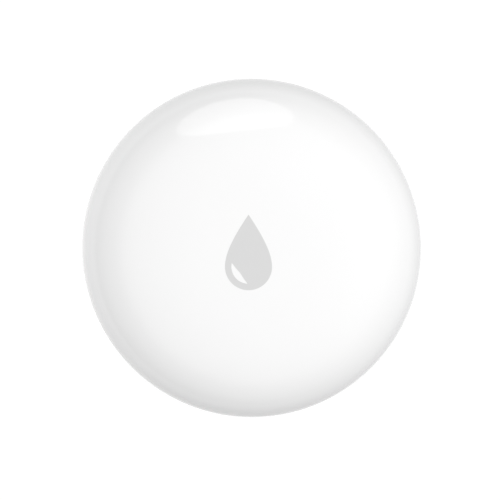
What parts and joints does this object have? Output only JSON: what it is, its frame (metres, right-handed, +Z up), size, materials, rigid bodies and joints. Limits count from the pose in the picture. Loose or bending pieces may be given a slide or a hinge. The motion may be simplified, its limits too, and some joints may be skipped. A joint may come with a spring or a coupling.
{
  "type": "water leak sensor",
  "caption": "Round white floor-standing water leak sensor: a pressable dome cover over a sealed base with probe feet and a quarter-turn battery door.",
  "frame": {"origin": "middle of the resting plane, under the centre of the round body", "axes": "+Z up through the cover, +X through the right-hand probe, +Y towards the tip of the drop mark"},
  "size_m": [0.05, 0.05, 0.015],
  "materials": {
    "cover_plastic": "high gloss, injection moulded",
    "base_plastic": "fine spark texture",
    "door_plastic": "fine spark texture",
    "seal_rubber": "silicone rubber, satin",
    "cell_steel": "nickel plated",
    "cell_cap_metal": "nickel plated",
    "gasket_plastic": "moulded",
    "spring_metal": "nickel plated spring strip",
    "board_laminate": "green solder mask",
    "screw_steel": "zinc plated",
    "chip_plastic": "moulding compound",
    "crystal_metal": "satin can",
    "capacitor_ceramic": "fired ceramic",
    "resistor_ceramic": "glazed",
    "trace_copper": "tinned copper",
    "led_ceramic": "white",
    "led_clear": "clear resin",
    "switch_plastic": "moulded",
    "switch_metal": "stamped",
    "stem_plastic": "moulded",
    "probe_plating": "nickel plated, polished"
  },
  "bodies": {
    "housing": {"base_case": "base_plastic", "case_seal": "seal_rubber", "probe_seal_left": "seal_rubber", "probe_seal_right": "seal_rubber", "positive_contact": "spring_metal", "negative_contact": "spring_metal", "probe_contact_left": "spring_metal", "probe_contact_right": "spring_metal", "circuit_board": "board_laminate", "board_screws": "screw_steel", "radio_chip": "chip_plastic", "crystal": "crystal_metal", "capacitors": "capacitor_ceramic", "resistors": "resistor_ceramic", "antenna_trace": "trace_copper", "led_substrate": "led_ceramic", "led_lens": "led_clear", "switch_housing": "switch_plastic", "switch_dome": "switch_metal", "switch_plate": "switch_metal", "switch_terminals": "switch_metal", "probe_left": "probe_plating", "probe_right": "probe_plating"},
    "cover": {"top_cover": "cover_plastic"},
    "switch_actuator": {"switch_stem": "stem_plastic"},
    "seal_carrier": {"door_seal": "seal_rubber"},
    "door": {"battery_door": "door_plastic", "cell_can": "cell_steel", "cell_gasket": "gasket_plastic", "cell_cap": "cell_cap_metal"}
  },
  "joints": [
    {"name": "cover_press", "type": "slide", "parent": "housing", "child": "cover", "axis": [0, 0, -1], "range_m": [0, 0.00025], "stiffness_N_per_m": 400, "springref_m": -0.002},
    {"name": "switch_press", "type": "slide", "parent": "housing", "child": "switch_actuator", "axis": [0, 0, -1], "range_m": [0, 0.00025], "deforming": ["switch_dome"]},
    {"name": "door_drop", "type": "slide", "parent": "housing", "child": "seal_carrier", "axis": [0, 0, -1], "range_m": [0, 0.004]},
    {"name": "door_turn", "type": "hinge", "parent": "seal_carrier", "child": "door", "pos_m": [0, 0, 0.0025], "axis": [0, 0, -1], "range_deg": [0, 90]}
  ],
  "couplings": [
    {"joint": "switch_press", "follows": "cover_press", "ratio": 1},
    {"joint": "door_drop", "follows": "door_turn", "m_per_rad": 0.0025465}
  ]
}
